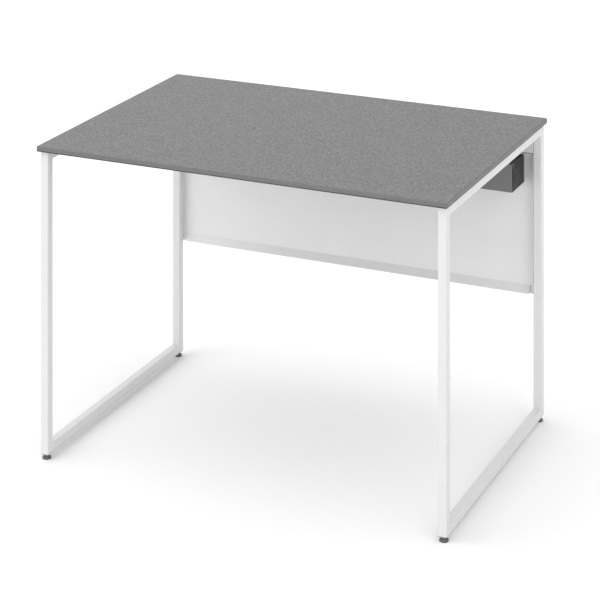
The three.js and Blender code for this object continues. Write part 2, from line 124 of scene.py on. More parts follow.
# ---- Materials ----
class Finish:
    """One material, with short calls that add its nodes. Places and sizes are in metres on the object."""

    def __init__(self, name, **constants):
        self.material = bpy.data.materials.new(name)
        self.material.use_nodes = True
        self.tree = self.material.node_tree
        self.shader = self.tree.nodes["Principled BSDF"]
        for socket, value in constants.items():
            self.shader.inputs[socket].default_value = value
        self.place = self.tree.nodes.new("ShaderNodeTexCoord").outputs["Object"]

    def add(self, kind, inputs, **settings):
        node = self.tree.nodes.new(kind)
        for setting, value in settings.items():
            setattr(node, setting, value)
        for socket, value in inputs.items():
            if isinstance(value, bpy.types.NodeSocket):
                self.tree.links.new(value, node.inputs[socket])
            else:
                node.inputs[socket].default_value = value
        return node

    def noise(self, size, detail=2.0, roughness=0.5, stretch=None):
        """Noise, mostly from 0.3 to 0.7, with features of about that size."""
        place = self.place
        if stretch:
            place = self.add("ShaderNodeMapping", {"Vector": place, "Scale": stretch}).outputs[0]
        inputs = {"Vector": place, "Scale": 1 / size, "Detail": detail, "Roughness": roughness}
        return self.add("ShaderNodeTexNoise", inputs).outputs[0]

    def grains(self, size):
        """One random value from 0 to 1 for each grain of about that size."""
        cells = self.add("ShaderNodeTexVoronoi", {"Vector": self.place, "Scale": 1 / size})
        return self.add("ShaderNodeSeparateColor", {0: cells.outputs["Color"]}).outputs[0]

    def spread(self, value, low, high, start=0.3, end=0.7):
        """Spreads the part of a value from start to end over low to high."""
        return self.add("ShaderNodeMapRange", {0: value, 1: start, 2: end, 3: low, 4: high}).outputs[0]

    def lower_edge(self, underside, share, heights):
        """A share of the colour at a height, which rises to the whole of it between two heights above."""
        height = self.add("ShaderNodeSeparateXYZ", {"Vector": self.place}).outputs["Z"]
        start, end = (underside + rise for rise in heights)
        return self.spread(height, share, 1, start, end)

    def product(self, *values):
        result = values[0]
        for value in values[1:]:
            result = self.add("ShaderNodeMath", {0: result, 1: value}, operation="MULTIPLY").outputs[0]
        return result

    def steps(self, value, stops):
        """A level for each stretch of a value, given as (start, level) pairs."""
        result = stops[0][1]
        for start, level in stops[1:]:
            above = self.add("ShaderNodeMath", {0: value, 1: start}, operation="GREATER_THAN").outputs[0]
            result = self.add("ShaderNodeMix", {0: above, 2: result, 3: level}).outputs[0]
        return result

    def colour(self, grey, tint=(1, 1, 1)):
        """A grey times a tint as the base colour."""
        inputs = {0: 1.0, 6: grey, 7: (*tint, 1)}
        mixed = self.add("ShaderNodeMix", inputs, data_type="RGBA", blend_type="MULTIPLY")
        self.tree.links.new(mixed.outputs[2], self.shader.inputs["Base Color"])

    def roughness(self, value):
        self.tree.links.new(value, self.shader.inputs["Roughness"])

    def bump(self, height, depth, strength=0.5):
        """Adds relief of about that depth, in metres, to what is there."""
        inputs = {"Height": height, "Distance": depth, "Strength": strength}
        normal = self.shader.inputs["Normal"]
        if normal.is_linked:
            inputs["Normal"] = normal.links[0].from_socket
        self.tree.links.new(self.add("ShaderNodeBump", inputs).outputs[0], normal)


def laminate():
    """Dark grey laminate with fine dark and light flecks under an embossed, matt surface."""
    finish = Finish("speckled_laminate", IOR=1.45)
    fine_flecks = ((0, 0.6), (0.2, 0.9), (0.5, 1.03), (0.8, 1.17), (0.93, 1.55))
    coarse_flecks = ((0, 0.74), (0.18, 0.96), (0.6, 1.05), (0.86, 1.27))
    fine = finish.steps(finish.grains(1.3 * MM), fine_flecks)
    coarse = finish.steps(finish.grains(3.4 * MM), coarse_flecks)
    clumps = finish.spread(finish.noise(5 * MM, 3), 0.9, 1.1)
    clouds = finish.spread(finish.noise(60 * MM, 3), 0.148, 0.155)
    finish.colour(finish.product(clouds, clumps, coarse, fine))
    finish.roughness(finish.spread(finish.noise(1.4 * MM, 3), 0.48, 0.62))
    finish.bump(finish.noise(6 * MM, 2), 0.02 * MM, 0.3)
    finish.bump(finish.noise(0.9 * MM, 3), 0.035 * MM)
    return finish.material


def edging():
    """Grey plastic edging with the faint long streaks of its extrusion and painted shade along its lower
    arris.
    """
    finish = Finish("grey_edging", IOR=1.46)
    streaks = finish.spread(finish.noise(2 * MM, 3, stretch=(0.06, 0.06, 1)), 0.94, 1.05)
    dust = finish.spread(finish.noise(0.5 * MM, 3), 0.94, 1.06)
    clouds = finish.spread(finish.noise(50 * MM, 3), 0.135, 0.148)
    # Painted shade: the band's lower arris is darkened in the colour.
    painted_arris_shade = finish.lower_edge(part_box("desktop_edge_band")[0].z, **BAND_ARRIS_SHADE)
    finish.colour(finish.product(clouds, streaks, dust, painted_arris_shade))
    finish.roughness(finish.spread(finish.noise(1.1 * MM, 3), 0.42, 0.56))
    finish.bump(finish.noise(0.5 * MM, 2), 0.02 * MM)
    return finish.material


def powder_coat(name, grey, shine, relief=0.045 * MM, underside=None):
    """Powder coat: an even colour under an orange-peel skin, with painted shade along the lower edges when
    an underside height is given.
    """
    finish = Finish(name, IOR=1.5)
    clouds = finish.spread(finish.noise(60 * MM, 3), grey * 0.985, grey * 1.01)
    pores = finish.spread(finish.noise(0.6 * MM, 2), 0.98, 1.01)
    colour = finish.product(clouds, pores)
    # Painted shade along the bottom rails' lower arrises and underside.
    if underside is not None:
        colour = finish.product(colour, finish.lower_edge(underside, **RAIL_EDGE_SHADE))
    finish.colour(colour, (1, 1, 0.995))
    finish.roughness(finish.spread(finish.noise(2.5 * MM, 3), shine - 0.06, shine + 0.06))
    finish.bump(finish.noise(1.8 * MM, 1), relief)
    finish.bump(finish.noise(0.45 * MM, 2), relief / 4)
    return finish.material


def moulded_plastic(name, grey, grain, gloss):
    """Dark moulded plastic, slightly cloudy, with a spark-eroded texture."""
    finish = Finish(name, **{"IOR": 1.5, "Specular IOR Level": gloss})
    clouds = finish.spread(finish.noise(12 * MM, 4), grey * 0.88, grey * 1.12)
    dust = finish.spread(finish.noise(0.4 * MM, 3), 0.9, 1.12)
    finish.colour(finish.product(clouds, dust), (1, 1, 1.02))
    finish.roughness(finish.spread(finish.noise(2 * grain, 3), 0.44, 0.6))
    finish.bump(finish.noise(grain, 2), 0.02 * MM)
    return finish.material


def foot_nylon():
    """Dark grey, scuffed nylon over a thin black base, which also paints the contact shade where the glide
    meets the floor.
    """
    finish = Finish("grey_foot_nylon", IOR=1.5)
    scuffs = finish.spread(finish.noise(2.5 * MM, 4), 0.8, 1.2)
    dust = finish.spread(finish.noise(0.4 * MM, 3), 0.9, 1.1)
    clouds = finish.spread(finish.noise(9 * MM, 3), 0.12, 0.14)
    # A black base band, which also paints the contact shade where the glide meets the floor.
    base = finish.lower_edge(0, **FOOT_BASE_AND_SHADE)
    finish.colour(finish.product(clouds, scuffs, dust, base), (1, 1, 1.01))
    finish.roughness(finish.spread(finish.noise(0.7 * MM, 3), 0.44, 0.6))
    finish.bump(finish.noise(0.35 * MM, 2), 0.02 * MM)
    return finish.material


def zinc():
    """Bright zinc plate with a cloudy passivation and fine scratches along the piece."""
    finish = Finish("zinc_plate", Metallic=1.0)
    finish.colour(finish.spread(finish.noise(3 * MM, 4), 0.48, 0.64), (0.97, 0.99, 1))
    scratches = finish.noise(0.5 * MM, 4, 0.7, stretch=(1, 1, 0.12))
    finish.roughness(finish.spread(scratches, 0.24, 0.46))
    finish.bump(scratches, 0.008 * MM)
    return finish.material


# Near-black plastic for the strip behind the tray end slots, which paints the shade seen through them.
SLOT_SHADE_BLACK = moulded_plastic("slot_shade_black", 0.008, 0.6 * MM, 0.1)
# A lighter copy of the white powder coat for the modesty panel and its gussets: painted light that stands
# in for more light under the top.
PANEL_WHITE_LIT_COPY = powder_coat("white_coat_lit_copy_for_panel", 0.72, 0.42)
RAIL_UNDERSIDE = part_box("right_bottom_rail")[0].z
MATERIALS = {
    "laminate_top": laminate(),
    "edge_band": edging(),
    "white_paint": powder_coat("white_powder_coat", 0.66, 0.42, underside=RAIL_UNDERSIDE),
    "white_screw": powder_coat("white_screw_paint", 0.74, 0.36, 0.03 * MM),
    "grey_paint": powder_coat("grey_powder_coat", 0.155, 0.5),
    "end_cap": moulded_plastic("near_black_end_cap", 0.036, 0.5 * MM, 0.4),
    "zinc_steel": zinc(),
    "foot_plastic": foot_nylon(),
}


# ---- Outlines ----
def arc(centre, radius, start, end, steps=6):
    """Points on an arc between two angles in degrees."""
    turns = [math.radians(start + (end - start) * step / steps) for step in range(steps + 1)]
    return [(centre[0] + radius * math.cos(turn), centre[1] + radius * math.sin(turn)) for turn in turns]


def rounded_rectangle(width, height, radius, steps=4):
    """A rectangle about the origin with round corners."""
    points = []
    for corner, (x, y) in enumerate(((1, 1), (-1, 1), (-1, -1), (1, -1))):
        centre = (x * (width / 2 - radius), y * (height / 2 - radius))
        points += arc(centre, radius, 90 * corner, 90 * corner + 90, steps)
    return points


def filleted(points, radii, steps=5):
    """A closed outline with its corners rounded, each by its own radius, where 0 leaves it sharp."""
    rounded = []
    for i, (point, radius) in enumerate(zip(points, radii)):
        corner = Vector(point)
        if not radius:
            rounded.append(tuple(corner))
            continue
        before = (Vector(points[i - 1]) - corner).normalized()
        after = (Vector(points[(i + 1) % len(points)]) - corner).normalized()
        half = before.angle(after) / 2
        centre = corner + (before + after).normalized() * radius / math.sin(half)
        spokes = [corner + arm * radius / math.tan(half) - centre for arm in (before, after)]
        start, end = (math.degrees(math.atan2(spoke.y, spoke.x)) for spoke in spokes)
        swing = (end - start + 180) % 360 - 180
        rounded += arc(centre, radius, start, start + swing, steps)
    return rounded


def circle(_turn):
    return 1.0


def hexagon(turn):
    """How far a hexagon with corners at 1 reaches at that angle."""
    return math.cos(math.pi / 6) / math.cos(turn % (math.pi / 3) - math.pi / 6)


def cross(turn):
    """How far a cross with arms that end at 1 reaches at that angle."""
    return min(1.0, CROSS_ARM / max(min(abs(math.sin(turn)), abs(math.cos(turn))), 1e-6))


def ring(radius, height, outline=circle, sides=SCREW_SIDES):
    """Points round the Z axis, from a radius and a height in millimetres."""
    points = []
    for side in range(sides):
        turn = 2 * math.pi * side / sides
        reach = radius * outline(turn)
        points.append(Vector((reach * math.cos(turn), reach * math.sin(turn), height)) * MM)
    return points


# ---- Meshes ----
def skin(rings, loop=False, climb=0, last=-1):
    """A closed mesh over rings of points. Its ends are capped, or meet where the rings run in a loop.
    Up to the last threaded ring, a ring's end meets the start of the one that is climb further on."""
    mesh = bmesh.new()
    rows = [[mesh.verts.new(point) for point in points] for points in rings]
    count = len(rings[0])

    def vertex(row, column):
        if column < count:
            return rows[row][column]
        return rows[min(row + climb, last) if row <= last else row][0]

    pairs = [(row, row + 1) for row in range(len(rows) - 1)]
    if loop:
        pairs.append((len(rows) - 1, 0))
    for low, high in pairs:
        for side in range(count):
            ahead = side + 1
            corners = [vertex(low, side), vertex(low, ahead), vertex(high, ahead), vertex(high, side)]
            corners = list(dict.fromkeys(corners))
            if len(corners) > 2:
                mesh.faces.new(corners)
    if not loop:
        mesh.faces.new(reversed(rows[0]))
        mesh.faces.new(rows[-1])
    bmesh.ops.remove_doubles(mesh, verts=mesh.verts, dist=1e-7)
    bmesh.ops.recalc_face_normals(mesh, faces=mesh.faces)
    return mesh


def merged(meshes):
    """Several bmeshes as one. The first one is kept and the others are freed."""
    whole = meshes[0]
    for mesh in meshes[1:]:
        data = finished("part", mesh)
        whole.from_mesh(data)
        bpy.data.meshes.remove(data)
    return whole


def smoothed(data, sharp=SHARP_ANGLE):
    """Mesh data, smooth but for edges sharper than that angle."""
    data.shade_smooth()
    data.set_sharp_from_angle(angle=math.radians(sharp))
    return data


def finished(name, mesh, sharp=SHARP_ANGLE):
    """A bmesh as smoothed mesh data."""
    data = bpy.data.meshes.new(name)
    mesh.to_mesh(data)
    mesh.free()
    return smoothed(data, sharp)


def extruded(outline, start, end, axis):
    """A solid from an outline in the two axes that follow the given one, drawn out along it."""
    order = [(place - axis) % 3 for place in range(3)]
    rings = []
    for distance in (start, end):
        rings.append([Vector([(distance, *point)[place] for place in order]) for point in outline])
    return skin(rings)


def standing(place, up):
    """The matrix that puts the origin at a place and turns +Z to a direction."""
    return Matrix.Translation(place) @ Vector(up).to_track_quat("Z", "Y").to_matrix().to_4x4()


def cylinder(radius, start, end):
    """A cylinder between two points."""
    along = Vector(end) - Vector(start)
    mesh = skin([ring(radius / MM, height / MM, sides=ROUND_SIDES) for height in (0, along.length)])
    mesh.transform(standing(start, along))
    return mesh


def piece(name, data, slot, stands_for, body="desk", place=None, material=None):
    """A piece of the desk that rides on its body and stands for its CAD nodes. Its material is its slot's
    unless another is given."""
    if not data.materials:
        data.materials.append(material or MATERIALS[slot])
    made = bpy.data.objects.new(name, data)
    if place is not None:
        made.matrix_world = place
    bpy.context.scene.collection.objects.link(made)
    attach(made, body)
    if stands_for:
        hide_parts(*stands_for)
    return made


def rounded_edges(made, width, angle):
    """Rounds a piece's edges that are sharper than that angle."""
    bevel = made.modifiers.new("rounded_edges", "BEVEL")
    bevel.width = width
    bevel.segments = 2
    bevel.limit_method = "ANGLE"
    bevel.angle_limit = math.radians(angle)
    return made


def combined(data, tools, operation):
    """Mesh data with other meshes joined to it or cut out of it."""
    base = bpy.data.objects.new("base", data)
    tool = bpy.data.objects.new("tool", finished("tool", merged(tools)))
    for made in (base, tool):
        bpy.context.scene.collection.objects.link(made)
    modifier = base.modifiers.new("tool", "BOOLEAN")
    modifier.operation = operation
    modifier.solver = "EXACT"
    modifier.object = tool
    graph = bpy.context.evaluated_depsgraph_get()
    result = bpy.data.meshes.new_from_object(base.evaluated_get(graph))
    for made in (base, tool):
        bpy.data.objects.remove(made)
    return smoothed(result)


def folded_sheet(name, cells, slot, stands_for, material=None):
    """A sheet from flat four-cornered cells of its middle surface, with round bends at its folds."""
    mesh = bmesh.new()
    for cell in cells:
        mesh.faces.new([mesh.verts.new(corner) for corner in cell])
    bmesh.ops.remove_doubles(mesh, verts=mesh.verts, dist=1e-6)
    bmesh.ops.recalc_face_normals(mesh, faces=mesh.faces)
    folds = [edge for edge in mesh.edges if len(edge.link_faces) == 2 and edge.calc_face_angle() > 0.1]
    bmesh.ops.bevel(mesh, geom=folds, offset=SHEET_BEND, segments=6, profile=0.5, affect="EDGES")
    made = piece(name, finished(name, mesh), slot, stands_for, material=material)
    thickness = made.modifiers.new("thickness", "SOLIDIFY")
    thickness.thickness = SHEET
    thickness.offset = 0
    thickness.use_even_offset = True
    return rounded_edges(made, 0.2 * MM, 60)


def middle_of(node):
    low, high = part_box(node)
    return (low + high) / 2


# ---- The top ----
def desktop():
    """The laminate board, and round it a band with rounded edges behind a hairline joint."""
    low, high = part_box("desktop_edge_band")
    width, depth = (high - low).xy

    def outline(inset, z):
        corner = max(TOP["corner"] - inset, 1.5 * MM)
        return [(x, y, z) for x, y in rounded_rectangle(width - 2 * inset, depth - 2 * inset, corner, 6)]

    band = TOP["band"]
    profile = arc((band, high.z - band), band, 90, 180) + arc((band, low.z + band), band, 180, 270)
    edge = skin([outline(inset, z) for inset, z in profile], loop=True)
    piece("top_edge_band", finished("top_edge_band", edge), "edge_band", ["desktop_edge_band"])

    inset = band + TOP["joint"]
    chamfer = TOP["chamfer"]
    rims = [(inset + chamfer, low.z), (inset, low.z + chamfer)]
    rims += [(inset, high.z - chamfer), (inset + chamfer, high.z)]
    board = skin([outline(*rim) for rim in rims])
    piece("top_board", finished("top_board", board, 20), "laminate_top", ["desktop_board"])


# ---- The side frames ----
def loop_frame(side_name, side):
    """A closed loop of welded square tube, hollow, with the holes for its screws and feet."""
    front_low, front_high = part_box(f"{side_name}_front_leg")
    rear_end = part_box(f"{side_name}_rear_leg")[1].y
    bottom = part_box(f"{side_name}_bottom_rail")[0].z
    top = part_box(f"{side_name}_top_rail")[1].z
    thickness, depth = (front_high - front_low).xy
    centre = Vector(((front_low.x + front_high.x) / 2, (front_low.y + rear_end) / 2, (bottom + top) / 2))
    length = rear_end - front_low.y - depth
    height = top - bottom - depth

    def shell(inset, radius):
        rings = []
        for across, outward in rounded_rectangle(thickness - 2 * inset, depth - 2 * inset, radius):
            loop = rounded_rectangle(length + 2 * outward, height + 2 * outward, TUBE["corner"])
            rings.append([centre + Vector((across, y, z)) for y, z in loop])
        return skin(rings, loop=True)

    bore = shell(TUBE["wall"], TUBE["bore_radius"])
    bmesh.ops.reverse_faces(bore, faces=bore.faces)
    tube = merged([shell(0, TUBE["radius"]), bore])
    inner_face = centre.x - side * thickness / 2
    reach = TUBE["wall"] + MM
    holes = []
    frame_screws = [(BOLT, f"{fixing}_bolt") for fixing in FIXINGS]
    frame_screws += [(PANEL_SCREW, name) for name in PANEL_SCREWS]
    for kind, name in frame_screws:
        spot = middle_of(f"{side_name}_{name}")
        start = (inner_face - side * MM, spot.y, spot.z)
        end = (inner_face + side * reach, spot.y, spot.z)
        holes.append(cylinder(kind["crest"] * MM + HOLE_PLAY, start, end))
    for end_name in ENDS:
        spot = middle_of(f"{side_name}_{end_name}_foot_insert")
        start = (spot.x, spot.y, bottom - MM)
        holes.append(cylinder(INSERT_HOLE, start, (spot.x, spot.y, bottom + reach)))
    nodes = [f"{side_name}_{part}" for part in ("front_leg", "rear_leg", "top_rail", "bottom_rail")]
    name = f"{side_name}_loop_frame"
    piece(name, combined(finished(name, tube), holes, "DIFFERENCE"), "white_paint", nodes)


# ---- Beams and brackets ----
def beam(name):
    """A cross beam of rectangular tube, open at both ends."""
    low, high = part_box(name)
    centre = (low + high) / 2
    size = high - low

    def section(inset, x, radius=TUBE["radius"]):
        outline = rounded_rectangle(size.y - 2 * inset, size.z - 2 * inset, radius)
        return [Vector((x, centre.y + y, centre.z + z)) for y, z in outline]

    wall, end = TUBE["wall"], TUBE["end"]
    rings = [section(end, low.x), section(0, low.x + end), section(0, high.x - end), section(end, high.x)]
    rings += [section(wall, x, TUBE["bore_radius"]) for x in (high.x, low.x)]
    piece(f"{name}_tube", finished(name, skin(rings, loop=True)), "white_paint", [name])


def bracket(side_name, side, end_name):
    """An angle bracket: a plate on the rail, a tongue down the beam's end, and wings under the top."""
    node = f"{side_name}_{end_name}_bracket"
    low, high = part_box(node)
    beam_low, beam_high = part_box(f"{end_name}_beam")
    thickness, corner, relief = BRACKET["thickness"], BRACKET["corner"], BRACKET["relief"]
    face = high.x if side > 0 else low.x
    back = face - side * thickness
    wing_end = low.x if side > 0 else high.x
    plate_bottom = high.z - BRACKET["height"]
    bend_bottom = high.z - BRACKET["bend"]
    outline = [(low.y, bend_bottom, 0), (low.y, plate_bottom, corner), (beam_low.y, plate_bottom, corner)]
    outline += [(beam_low.y, low.z, corner), (beam_high.y, low.z, corner)]
    wings = [(low.y, beam_low.y - relief)]
    if high.y - beam_high.y > relief:
        outline += [(beam_high.y, plate_bottom, corner), (high.y, plate_bottom, corner)]
        outline += [(high.y, bend_bottom, 0), (beam_high.y, bend_bottom, 0)]
        wings.append((beam_high.y + relief, high.y))
    outline += [(beam_high.y, high.z, 0), (beam_low.y, high.z, 0), (beam_low.y, bend_bottom, 0)]
    flat = filleted([(y, z) for y, z, _ in outline], [radius for _, _, radius in outline])
    plate = finished(node, extruded(flat, *sorted((back, face)), 0))
    under = high.z - thickness
    low_edge = bend_bottom - MM
    profile = [(low_edge, face), (high.z, face), (high.z, wing_end)]
    profile += [(under, wing_end), (under, back), (low_edge, back)]
    angle = filleted(profile, [0, BRACKET["bend"], 0, 0, BRACKET["bend"] - thickness, 0])
    wing_meshes = [round_ended(extruded(angle, start, end, 1), wing_end, corner) for start, end in wings]
    made = piece(f"{node}_angle", combined(plate, wing_meshes, "UNION"), "white_paint", [node])
    return rounded_edges(made, 0.35 * MM, 50)


def round_ended(mesh, x, radius):
    """Rounds the upright edges that a mesh has at that x."""
    edges = []
    for edge in mesh.edges:
        start, end = (vertex.co for vertex in edge.verts)
        if abs(start.x - x) < 1e-6 and abs(end.x - x) < 1e-6 and abs(start.z - end.z) > 1e-6:
            edges.append(edge)
    bmesh.ops.bevel(mesh, geom=edges, offset=radius, segments=5, profile=0.5, affect="EDGES")
    return mesh


def spaced(points, step):
    """Points at equal distances along a line."""
    points = [Vector(point) for point in points]
    lengths = [0.0]
    for start, end in zip(points, points[1:]):
        lengths.append(lengths[-1] + (end - start).length)
    count = round(lengths[-1] / step)
    spread = []
    part = 0
    for i in range(count + 1):
        distance = lengths[-1] * i / count
        while part < len(points) - 2 and lengths[part + 1] < distance:
            part += 1
        share = (distance - lengths[part]) / (lengths[part + 1] - lengths[part])
        spread.append(points[part].lerp(points[part + 1], share))
    return spread


def weld(side_name, side, end_name):
    """A rippled weld bead round a beam's end, from under one side of the bracket's wings to the other."""
    low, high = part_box(f"{end_name}_beam")
    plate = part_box(f"{side_name}_{end_name}_bracket")
    plate_back = plate[1].x - BRACKET["thickness"] if side > 0 else plate[0].x + BRACKET["thickness"]
    x = (plate_back + (high.x if side > 0 else low.x)) / 2
    top = high.z - WELD["below_top"]
    corner = WELD["corner"]
    path = [(low.y, top), *arc((low.y + corner, low.z + corner), corner, 180, 270)]
    path += [*arc((high.y - corner, low.z + corner), corner, 270, 360), (high.y, top)]
    line = spaced(path, WELD["step"])
    spokes = [2 * math.pi * spoke / WELD["sides"] for spoke in range(WELD["sides"])]
    sideways = Vector((1, 0, 0))
    rings = []
    for i, point in enumerate(line):
        along = (line[min(i + 1, len(line) - 1)] - line[max(i - 1, 0)]).normalized()
        outward = Vector((0, along.y, -along.x))
        taper = min(1, (i + 1) / WELD_TAPER_STEPS, (len(line) - i) / WELD_TAPER_STEPS)
        crest = abs(math.sin(math.pi * i * WELD["step"] / WELD_RIPPLE["length"]))
        valley = WELD_RIPPLE["valley"]
        radius = WELD["radius"] * taper * (valley + (1 - valley) * crest)
        centre = Vector((x, *point))
        rings.append([centre + radius * (outward * math.cos(s) + sideways * math.sin(s)) for s in spokes])
    name = f"{side_name}_{end_name}_weld"
    piece(name, finished(name, skin(rings), 60), "white_paint", [])


# ---- Screws ----
def thread(kind, low, high):
    """Rings of a thread between two heights, in millimetres. Each ring climbs one pitch in its turn."""
    step = kind["pitch"] / ROWS_PER_TURN
    rows = ROWS_PER_TURN + math.ceil((high - low) / step) + 1
    rings = []
    for row in range(rows + 1):
        on_crest = row % ROWS_PER_TURN in (0, 1)
        points = []
        for side in range(SCREW_SIDES):
            height = low + step * (row - ROWS_PER_TURN * (1 - side / SCREW_SIDES))
            height = min(max(height, low), high)
            start = (height - low) / kind["point"]
            run_out = min(1, start, (high - height) / kind["pitch"])
            radius = kind["core"] * min(1, kind["tip"] + start)
            if on_crest:
                radius += (kind["crest"] - kind["core"]) * run_out
            turn = 2 * math.pi * side / SCREW_SIDES
            points.append(Vector((radius * math.cos(turn), radius * math.sin(turn), height)) * MM)
        rings.append(points)
    return rings


def hexagon_socket(head, height):
    """Rings down into a hexagon socket in a button head."""
    across = head * 0.44
    rings = [ring(across * 1.12, height), ring(across, height - 0.1, hexagon)]
    return rings + [ring(across, height * 0.3, hexagon), ring(across * 0.1, height * 0.15)]


def cross_recess(head, height):
    """Rings down into a tapered cross recess in a pan head."""
    across = head * 0.52
    rings = [ring(across * 1.05, height), ring(across, height - 0.05, cross)]
    return rings + [ring(across * 0.62, height * 0.35, cross), ring(across * 0.1, height * 0.2)]


def screw_data(name, kind, socket):
    """A screw with its thread below Z = 0 and its domed head above."""
    rings = thread(kind, -kind["length"], -PLAIN_NECK)
    last = len(rings) - 1
    head, height = kind["head"], kind["height"]
    dome = [(0.95, 0), (1, 0.08), (1, 0.4), (0.97, 0.58)]
    dome += [(0.9, 0.76), (0.79, 0.9), (0.66, 0.98), (0.58, 1)]
    rings.append(ring(kind["core"], 0))
    rings += [ring(head * across, height * up) for across, up in dome]
    rings += socket(head, height)
    return finished(name, skin(rings, climb=ROWS_PER_TURN, last=last), 30)


def place_screws(name, kind, socket, slot, nodes):
    """Puts a screw of that kind on each node's axis, with its head on the side of the direction given."""
    data = screw_data(name, kind, socket)
    for node, direction in nodes:
        low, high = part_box(node)
        towards = Vector(direction)
        reach = abs((high - low).dot(towards)) / 2
        seat = (low + high) / 2 + towards * (reach - kind["height"] * MM)
        piece(f"{node}_threaded", data, slot, [node], place=standing(seat, towards))


def screws():
    inward = {name: (-side, 0, 0) for name, side in SIDES.items()}
    bolts = [(f"{name}_{fixing}_bolt", inward[name]) for name in SIDES for fixing in FIXINGS]
    wood_screws = [(f"{name}_{fixing}_top_screw", (0, 0, -1)) for name in SIDES for fixing in FIXINGS]
    panel_screws = [(f"{name}_{screw}", inward[name]) for name in SIDES for screw in PANEL_SCREWS]
    tray_bolts = [(f"tray_screw_{spot}", (0, -1, 0)) for spot in TRAY_SPOTS]
    place_screws("button_bolt", BOLT, hexagon_socket, "zinc_steel", bolts)
    place_screws("wood_screw", WOOD_SCREW, cross_recess, "zinc_steel", wood_screws)
    place_screws("panel_screw", PANEL_SCREW, cross_recess, "white_screw", panel_screws)
    place_screws("tray_bolt", TRAY_BOLT, hexagon_socket, "zinc_steel", tray_bolts)


# ---- The modesty panel ----
def modesty_panel():
    """One sheet, folded forward at its top and sides, with a slanting lip between two corner tabs."""
    low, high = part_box("modesty_panel")
    half = SHEET / 2
    side, back, front, top = high.x - half, high.y - half, low.y, high.z - half
    crease = low.z + PANEL["crease"]
    lip_bottom = crease - PANEL["lip_drop"]
    lip_front = back - PANEL["lip_reach"]
    flange_end = side - PANEL_CORNER["relief"]
    tab = side - PANEL_CORNER["tab"]
    notch = crease + PANEL_CORNER["relief"]
    shoulder = top - PANEL_CORNER["relief"]
    columns = [-side, -flange_end, -tab, tab, flange_end, side]
    cells = []

    def face(x0, x1, z0, z1):
        cells.append([(x0, back, z0), (x1, back, z0), (x1, back, z1), (x0, back, z1)])

    for x0, x1 in zip(columns, columns[1:]):
        face(x0, x1, notch, shoulder)
        if -flange_end <= x0 and x1 <= flange_end:
            face(x0, x1, shoulder, top)
            cells.append([(x0, back, top), (x1, back, top), (x1, front, top), (x0, front, top)])
        if tab <= x0 or x1 <= -tab:
            face(x0, x1, low.z, notch)
    face(-tab, tab, crease, notch)
    lip_edge = [(tab, lip_front, lip_bottom), (-tab, lip_front, lip_bottom)]
    cells.append([(-tab, back, crease), (tab, back, crease), *lip_edge])
    for x in (-side, side):
        for z0, z1, rise in ((low.z, notch, PANEL["flange_rise"]), (notch, shoulder, 0)):
            cells.append([(x, back, z0), (x, front, z0 + rise), (x, front, z1), (x, back, z1)])
    folded_sheet("folded_modesty_panel", cells, "white_paint", ["modesty_panel"], PANEL_WHITE_LIT_COPY)

    triangle = [(back - half, crease - half), (lip_front, lip_bottom), (back - half, lip_bottom)]
    for side_name, sign in SIDES.items():
        name = f"{side_name}_lip_gusset"
        gusset = extruded(triangle, *sorted((sign * tab, sign * (tab - SHEET))), 0)
        piece(name, finished(name, gusset), "white_paint", [], material=PANEL_WHITE_LIT_COPY)


# ---- The cable tray ----
def cable_tray():
    """A folded channel, open at the top, with a hem along its front wall."""
    low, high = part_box("cable_tray")
    half = SHEET / 2
    front, back, bottom, top = low.y + half, high.y - half, low.z + half, high.z - half
    path = [(back, high.z), (back, bottom), (front, bottom), (front, top), (front + TRAY_HEM, top)]
    cells = []
    for (y0, z0), (y1, z1) in zip(path, path[1:]):
        cells.append([(low.x, y0, z0), (low.x, y1, z1), (high.x, y1, z1), (high.x, y0, z0)])
    folded_sheet("folded_cable_tray", cells, "grey_paint", ["cable_tray"])


def tray_end(side_name, side):
    """A moulded end cap: a plate with a rim turned inwards and round-ended slots for cables and ties."""
    node = f"tray_end_{side_name}"
    low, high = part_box(node)
    face = high.x if side > 0 else low.x

    def outline(inset, depth):
        y0, y1, z0, z1 = low.y + inset, high.y - inset, low.z + inset, high.z - inset
        small = max(TRAY_END["small_corner"] - inset, 0.3 * MM)
        radii = [small, small, TRAY_END["corner"] - inset, small]
        points = filleted([(y0, z0), (y1, z0), (y1, z1), (y0, z1)], radii, 8)
        return [(face - side * depth, y, z) for y, z in points]

    bend, rim = TRAY_END["bend"], TRAY_END["rim"]
    outer_bend = [outline(bend - x, bend - z) for x, z in arc((0, 0), bend, 0, 90)]
    inner_bend = [outline(bend - x, bend - z) for x, z in arc((0, 0), bend - SHEET, 0, 90)]
    outer = [outline(0, rim), *outer_bend]
    hollow = [outline(SHEET, rim + MM), *inner_bend]
    openings = []
    for slot in TRAY_END_SLOTS:
        (y0, y1), (z0, z1) = ([edge * MM for edge in slot[axis]] for axis in "yz")
        corner = min(y1 - y0, z1 - z0) * SLOT_ROUNDNESS
        shape = rounded_rectangle(y1 - y0, z1 - z0, corner, 6)
        points = [((y0 + y1) / 2 + y, (z0 + z1) / 2 + z) for y, z in shape]
        openings.append(extruded(points, face + side * MM, face - side * 2 * SHEET, 0))
    pan = combined(finished(node, skin(outer)), [skin(hollow)], "DIFFERENCE")
    cap = piece(f"{node}_cap", combined(pan, openings, "DIFFERENCE"), "end_cap", [node])
    rounded_edges(cap, 0.15 * MM, 60)
    # A near-black strip behind the slots: painted shade seen through them.
    name = f"{node}_slot_shade_strip"
    strip = skin([outline(TRAY_SLOT_SHADE["inset"], depth) for depth in TRAY_SLOT_SHADE["depths"]])
    piece(name, finished(name, strip), "end_cap", [], material=SLOT_SHADE_BLACK)


